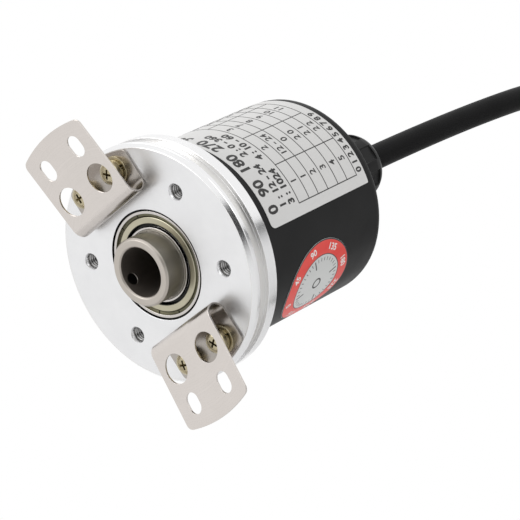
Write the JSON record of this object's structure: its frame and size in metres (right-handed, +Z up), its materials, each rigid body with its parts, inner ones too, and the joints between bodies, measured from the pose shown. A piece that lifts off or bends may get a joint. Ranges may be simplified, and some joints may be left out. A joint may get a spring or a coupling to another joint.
{
  "type": "hollow shaft rotary encoder",
  "caption": "Single-turn absolute rotary encoder: round flange with a blind hollow shaft, folded spring brackets, a black can and a cable out of the rear.",
  "frame": {"origin": "on the shaft's axis, at the open front end of the blind bore", "axes": "+Y along the shaft towards the rear, +Z up to the first bracket, +X to the right seen from the front; the cable leaves the can on the +X side"},
  "size_m": [0.058, 0.218, 0.256],
  "materials": {
    "bare_aluminium": "fine turned and blasted",
    "black_coat": "matt powder coat",
    "seal_rubber": "matt",
    "bearing_steel": "ground",
    "shield_steel": "pressed, bright",
    "cage_steel": "pressed",
    "spring_steel": "oiled",
    "shaft_steel": "turned",
    "screw_black": "blackened steel",
    "hub_aluminium": "turned",
    "disc_glass": "clear with an opaque track",
    "lens_glass": "clear",
    "black_moulding": "fine grain",
    "lamp_resin": "clear epoxy",
    "chip_moulding": "moulded",
    "board_laminate": "solder mask",
    "pillar_brass": "turned",
    "plated_screw": "passivated zinc",
    "connector_moulding": "natural nylon",
    "capacitor_can": "drawn",
    "lead_insulation": "soft vinyl",
    "gland_moulding": "fine grain",
    "bracket_steel": "rolled sheet",
    "label_foil": "printed foil",
    "sticker_foil": "printed foil",
    "cable_sheath": "soft vinyl",
    "tie_nylon": "nylon"
  },
  "bodies": {
    "housing": {"flange": "bare_aluminium", "housing_can": "black_coat", "can_seal": "seal_rubber", "front_bearing_outer_ring": "bearing_steel", "front_bearing_shields": "shield_steel", "rear_bearing_outer_ring": "bearing_steel", "rear_bearing_shields": "shield_steel", "preload_spring": "spring_steel", "hub_retaining_ring": "spring_steel", "led_holder": "black_moulding", "led_lamp": "lamp_resin", "collimator_lens": "lens_glass", "reticle": "lens_glass", "photo_sensor": "chip_moulding", "sensor_board": "board_laminate", "board_pillars": "pillar_brass", "board_spacers": "pillar_brass", "output_board": "board_laminate", "board_screws": "plated_screw", "board_link": "black_moulding", "output_drivers": "chip_moulding", "filter_capacitors": "capacitor_can", "cable_header": "connector_moulding", "cable_plug": "connector_moulding", "inner_leads": "lead_insulation", "gland_body": "gland_moulding", "gland_locknut": "gland_moulding", "gland_seal": "seal_rubber", "gland_nut": "gland_moulding", "upper_bracket": "bracket_steel", "lower_bracket": "bracket_steel", "bracket_screws": "plated_screw", "bracket_spring_washers": "plated_screw", "bracket_flat_washers": "plated_screw", "nameplate": "label_foil", "round_sticker": "sticker_foil", "cable": "cable_sheath", "cable_coil": "cable_sheath", "coil_tie": "tie_nylon", "cable_tail": "cable_sheath", "tail_leads": "lead_insulation"},
    "rotor": {"hollow_shaft": "shaft_steel", "shaft_set_screws": "screw_black", "front_bearing_inner_ring": "bearing_steel", "rear_bearing_inner_ring": "bearing_steel", "shaft_circlip": "spring_steel", "disc_hub": "hub_aluminium", "code_disc": "disc_glass"},
    "front_ball_set": {"front_bearing_balls": "bearing_steel", "front_bearing_cage": "cage_steel"},
    "rear_ball_set": {"rear_bearing_balls": "bearing_steel", "rear_bearing_cage": "cage_steel"}
  },
  "joints": [
    {"name": "shaft_spin", "type": "hinge", "parent": "housing", "child": "rotor", "pos_m": [0, 0, 0], "axis": [0, 1, 0], "continuous": true},
    {"name": "front_balls_spin", "type": "hinge", "parent": "housing", "child": "front_ball_set", "pos_m": [0, 0, 0], "axis": [0, 1, 0], "continuous": true},
    {"name": "rear_balls_spin", "type": "hinge", "parent": "housing", "child": "rear_ball_set", "pos_m": [0, 0, 0], "axis": [0, 1, 0], "continuous": true}
  ],
  "couplings": [
    {"joint": "front_balls_spin", "follows": "shaft_spin", "ratio": 0.44465},
    {"joint": "rear_balls_spin", "follows": "shaft_spin", "ratio": 0.44465}
  ]
}
